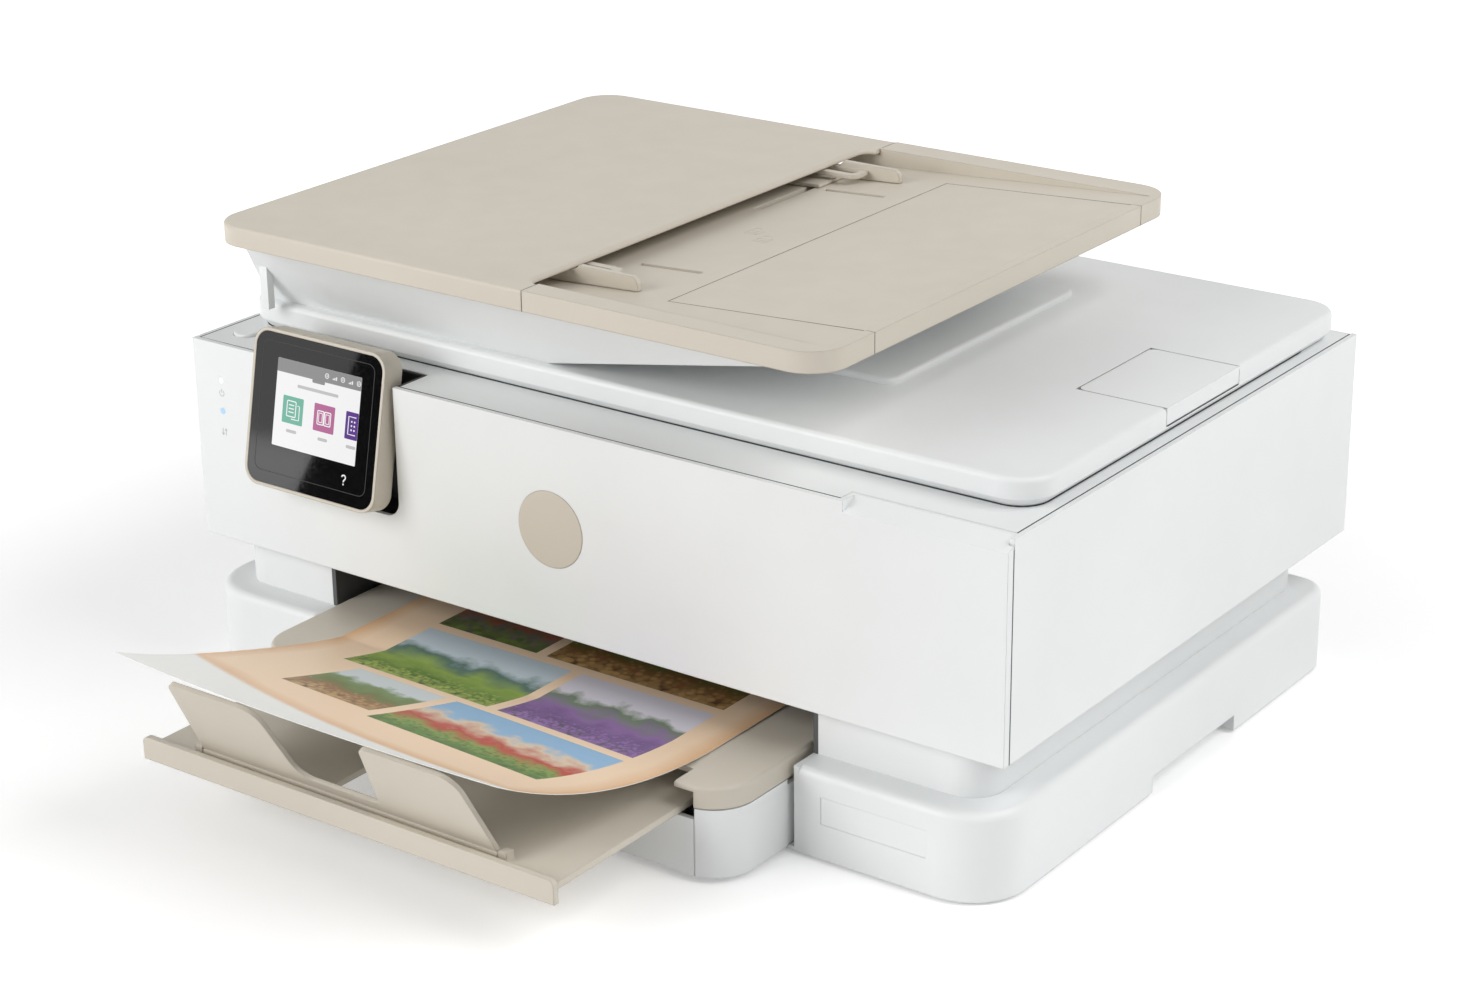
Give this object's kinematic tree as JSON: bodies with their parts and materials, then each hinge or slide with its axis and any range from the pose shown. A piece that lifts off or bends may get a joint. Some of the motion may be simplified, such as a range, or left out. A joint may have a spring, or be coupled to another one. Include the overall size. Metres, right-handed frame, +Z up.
{
  "type": "inkjet printer",
  "caption": "All-in-one inkjet printer with a flatbed scanner lid, document feeder, tilting touch panel, pull-out paper tray and folding output stop.",
  "frame": {"origin": "on the standing surface, under the middle of the whole printer's box", "axes": "+X to the right of someone facing the control panel, +Y to the back, +Z up"},
  "size_m": [0.46, 0.4934, 0.232],
  "materials": {
    "white_shell": "fine satin moulded texture",
    "warm_beige": "satin moulded plastic",
    "dark_liner": "dark grey matte",
    "screen_glass": "glossy black touch panel",
    "scan_glass": "clear flat glass",
    "steel": "plated steel",
    "black_plastic": "matte black",
    "grey_plastic": "matte grey",
    "rubber": "matte rubber",
    "foam": "white foam backing",
    "board": "green circuit board",
    "paper": "plain sheet",
    "light": "clear light pipe"
  },
  "bodies": {
    "chassis": {"base_shell": "white_shell", "neck_frame": "white_shell", "bay_liner": "dark_liner", "rubber_feet": "rubber", "body_floor": "grey_plastic", "front_panel": "white_shell", "badge_disc": "warm_beige", "status_lights": "light", "side_panel_left": "white_shell", "side_panel_right": "white_shell", "rear_panel": "white_shell", "rear_sockets": "black_plastic", "hinge_pins": "steel", "panel_well": "black_plastic", "mech_frame": "steel", "carriage_rod": "steel", "encoder_strip": "light", "drive_belt": "rubber", "carriage_motor": "steel", "transfer_belt": "rubber", "feed_motor": "steel", "platen": "black_plastic", "service_station": "grey_plastic", "main_board": "board", "power_supply": "steel", "case_screws": "steel"},
    "control_panel": {"panel_housing": "warm_beige", "panel_glass": "screen_glass"},
    "deck": {"scanner_deck": "white_shell", "scanner_glass": "scan_glass", "scan_rail": "steel"},
    "lid": {"lid_shell": "white_shell", "lid_pad": "foam", "adf_housing": "white_shell", "adf_tray": "warm_beige"},
    "paper_tray": {"tray_box": "white_shell", "output_tray": "warm_beige", "printed_sheet": "paper"},
    "carriage": {"carriage": "black_plastic", "ink_cartridges": "black_plastic"},
    "scan_bar": {"scan_bar": "black_plastic"},
    "power_button": {"power_button": "white_shell"},
    "lid_catch": {"lid_catch": "white_shell"},
    "adf_cover": {"adf_cover": "warm_beige"},
    "adf_guide_front": {"adf_guide_front": "warm_beige"},
    "adf_guide_rear": {"adf_guide_rear": "warm_beige"},
    "adf_pinion": {"adf_pinion": "black_plastic"},
    "adf_extender": {"adf_extender": "warm_beige"},
    "adf_feed_roller": {"adf_feed_roller": "rubber"},
    "adf_pick_roller": {"adf_pick_roller": "rubber"},
    "output_extension": {"output_extension": "warm_beige"},
    "output_flap": {"output_flap": "warm_beige"},
    "tray_guide_left": {"tray_guide_left": "grey_plastic"},
    "tray_guide_right": {"tray_guide_right": "grey_plastic"},
    "motor_pulley": {"motor_pulley": "grey_plastic"},
    "idler_pulley": {"idler_pulley": "grey_plastic"},
    "feed_shaft": {"feed_shaft": "steel"},
    "exit_shaft": {"exit_shaft": "black_plastic"},
    "motor_pinion": {"motor_pinion": "grey_plastic"},
    "pick_roller": {"pick_roller": "rubber"}
  },
  "joints": [
    {"name": "deck_lift", "type": "hinge", "parent": "chassis", "child": "deck", "pos_m": [0, 0.24125, 0.17], "axis": [-1, 0, 0], "range_deg": [0, 35]},
    {"name": "lid_hinge", "type": "hinge", "parent": "deck", "child": "lid", "pos_m": [0, 0.24125, 0.17], "axis": [-1, 0, 0], "range_deg": [0, 70]},
    {"name": "scan_bar_slide", "type": "slide", "parent": "deck", "child": "scan_bar", "axis": [1, 0, 0], "range_m": [0, 0.28]},
    {"name": "power_button_press", "type": "slide", "parent": "deck", "child": "power_button", "axis": [0, 0, -1], "range_m": [0, 0.0012], "stiffness_N_per_m": 400},
    {"name": "lid_catch_slide", "type": "slide", "parent": "lid", "child": "lid_catch", "axis": [1, 0, 0], "range_m": [0, 0.035]},
    {"name": "adf_cover_hinge", "type": "hinge", "parent": "lid", "child": "adf_cover", "pos_m": [-0.201, 0.05725, 0.221], "axis": [0, -1, 0], "range_deg": [0, 60]},
    {"name": "adf_guide_front_slide", "type": "slide", "parent": "lid", "child": "adf_guide_front", "axis": [0, 1, 0], "range_m": [0, 0.05]},
    {"name": "adf_guide_rear_slide", "type": "slide", "parent": "lid", "child": "adf_guide_rear", "axis": [0, -1, 0], "range_m": [0, 0.05]},
    {"name": "adf_pinion_turn", "type": "hinge", "parent": "lid", "child": "adf_pinion", "pos_m": [-0.033, 0.06075, 0.213], "axis": [0, 0, -1], "range_deg": [0, 360]},
    {"name": "adf_extender_slide", "type": "slide", "parent": "lid", "child": "adf_extender", "axis": [0.9984, 0, 0.0558], "range_m": [0, 0.06]},
    {"name": "adf_feed_turn", "type": "hinge", "parent": "lid", "child": "adf_feed_roller", "pos_m": [-0.13, 0.06725, 0.201], "axis": [0, 1, 0], "continuous": true},
    {"name": "adf_pick_turn", "type": "hinge", "parent": "lid", "child": "adf_pick_roller", "pos_m": [-0.082, 0.06075, 0.22406], "axis": [0, 1, 0], "continuous": true},
    {"name": "panel_tilt", "type": "hinge", "parent": "chassis", "child": "control_panel", "pos_m": [-0.1445, -0.07766, 0.15946], "axis": [-1, 0, 0], "range_deg": [-11.8, 30]},
    {"name": "paper_tray_slide", "type": "slide", "parent": "chassis", "child": "paper_tray", "axis": [0, -1, 0], "range_m": [0, 0.15]},
    {"name": "tray_guide_right_slide", "type": "slide", "parent": "paper_tray", "child": "tray_guide_right", "axis": [-1, 0, 0], "range_m": [0, 0.05]},
    {"name": "tray_guide_left_slide", "type": "slide", "parent": "paper_tray", "child": "tray_guide_left", "axis": [1, 0, 0], "range_m": [0, 0.05]},
    {"name": "output_extension_slide", "type": "slide", "parent": "paper_tray", "child": "output_extension", "axis": [0, 1, 0], "range_m": [0, 0.084], "deforming": ["printed_sheet"]},
    {"name": "output_flap_fold", "type": "hinge", "parent": "output_extension", "child": "output_flap", "pos_m": [-0.016, -0.21475, 0.0365], "axis": [-1, 0, 0], "range_deg": [0, 116], "deforming": ["printed_sheet"]},
    {"name": "carriage_slide", "type": "slide", "parent": "chassis", "child": "carriage", "axis": [-1, 0, 0], "range_m": [0, 0.32]},
    {"name": "motor_pulley_turn", "type": "hinge", "parent": "chassis", "child": "motor_pulley", "pos_m": [0.192, 0.07725, 0.122], "axis": [0, -1, 0], "range_deg": [0, 2390]},
    {"name": "idler_pulley_turn", "type": "hinge", "parent": "chassis", "child": "idler_pulley", "pos_m": [-0.192, 0.07725, 0.122], "axis": [0, -1, 0], "range_deg": [0, 2390]},
    {"name": "feed_turn", "type": "hinge", "parent": "chassis", "child": "feed_shaft", "pos_m": [0, 0.07925, 0.086], "axis": [1, 0, 0], "continuous": true},
    {"name": "exit_turn", "type": "hinge", "parent": "chassis", "child": "exit_shaft", "pos_m": [0, -0.03075, 0.078], "axis": [1, 0, 0], "continuous": true},
    {"name": "motor_pinion_turn", "type": "hinge", "parent": "chassis", "child": "motor_pinion", "pos_m": [-0.21, 0.0927, 0.10094], "axis": [1, 0, 0], "continuous": true},
    {"name": "pick_roller_turn", "type": "hinge", "parent": "chassis", "child": "pick_roller", "pos_m": [-0.0115, 0.11725, 0.045], "axis": [1, 0, 0], "continuous": true}
  ],
  "couplings": [
    {"joint": "adf_guide_rear_slide", "follows": "adf_guide_front_slide", "ratio": 1},
    {"joint": "adf_pinion_turn", "follows": "adf_guide_front_slide", "rad_per_m": 119.05},
    {"joint": "adf_pick_turn", "follows": "adf_feed_turn", "ratio": 1.5},
    {"joint": "tray_guide_left_slide", "follows": "tray_guide_right_slide", "ratio": 1},
    {"joint": "motor_pulley_turn", "follows": "carriage_slide", "rad_per_m": 129.87},
    {"joint": "idler_pulley_turn", "follows": "carriage_slide", "rad_per_m": 129.87},
    {"joint": "exit_turn", "follows": "feed_turn", "ratio": 1},
    {"joint": "motor_pinion_turn", "follows": "feed_turn", "ratio": -2.5},
    {"joint": "pick_roller_turn", "follows": "feed_turn", "ratio": 0.5}
  ]
}
